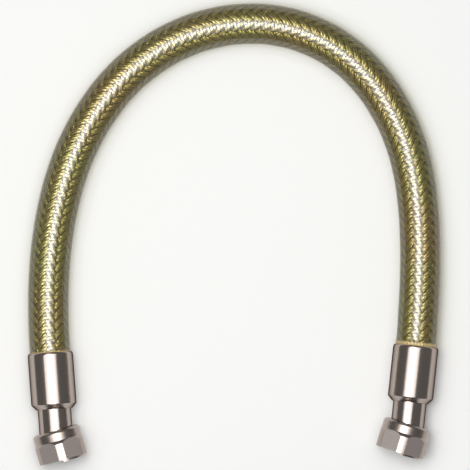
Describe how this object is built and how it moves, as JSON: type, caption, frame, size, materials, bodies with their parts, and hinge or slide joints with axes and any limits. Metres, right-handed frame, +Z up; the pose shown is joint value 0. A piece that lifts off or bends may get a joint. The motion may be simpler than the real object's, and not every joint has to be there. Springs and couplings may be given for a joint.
{
  "type": "corrugated stainless steel hose",
  "caption": "Braided corrugated steel hose bent in an arch, with a clear yellow cover, crimped ferrules and loose hexagonal union nuts.",
  "frame": {"origin": "centre of the hose's outline on the surface that it lies on", "axes": "+Z up from that surface, +Y from the fittings to the top of the arch, +X to the right seen from above with the arch at the top"},
  "size_m": [0.2045, 0.2287, 0.0258],
  "materials": {
    "tube_steel": "bright drawn stainless steel",
    "braid_wire": "bright braided stainless wire",
    "clear_cover": "clear yellow soft plastic, glossy",
    "polished_steel": "turned and polished stainless steel",
    "nut_steel": "satin turned stainless steel",
    "gasket_fibre": "matt pressed fibre"
  },
  "bodies": {
    "hose": {"corrugated_tube": "tube_steel", "wire_braid": "braid_wire", "hose_cover": "clear_cover", "left_ferrule": "polished_steel", "right_ferrule": "polished_steel", "left_tailpiece": "polished_steel", "right_tailpiece": "polished_steel"},
    "left_nut": {"left_union_nut": "nut_steel", "left_gasket": "gasket_fibre"},
    "right_nut": {"right_union_nut": "nut_steel", "right_gasket": "gasket_fibre"}
  },
  "joints": [
    {"name": "left_nut_swivel", "type": "hinge", "parent": "hose", "child": "left_nut", "pos_m": [-0.08818, -0.09747, 0.0129], "axis": [0.2689, -0.9632, 0], "continuous": true},
    {"name": "right_nut_swivel", "type": "hinge", "parent": "hose", "child": "right_nut", "pos_m": [0.08569, -0.09405, 0.0129], "axis": [-0.2907, -0.9568, 0], "continuous": true}
  ]
}
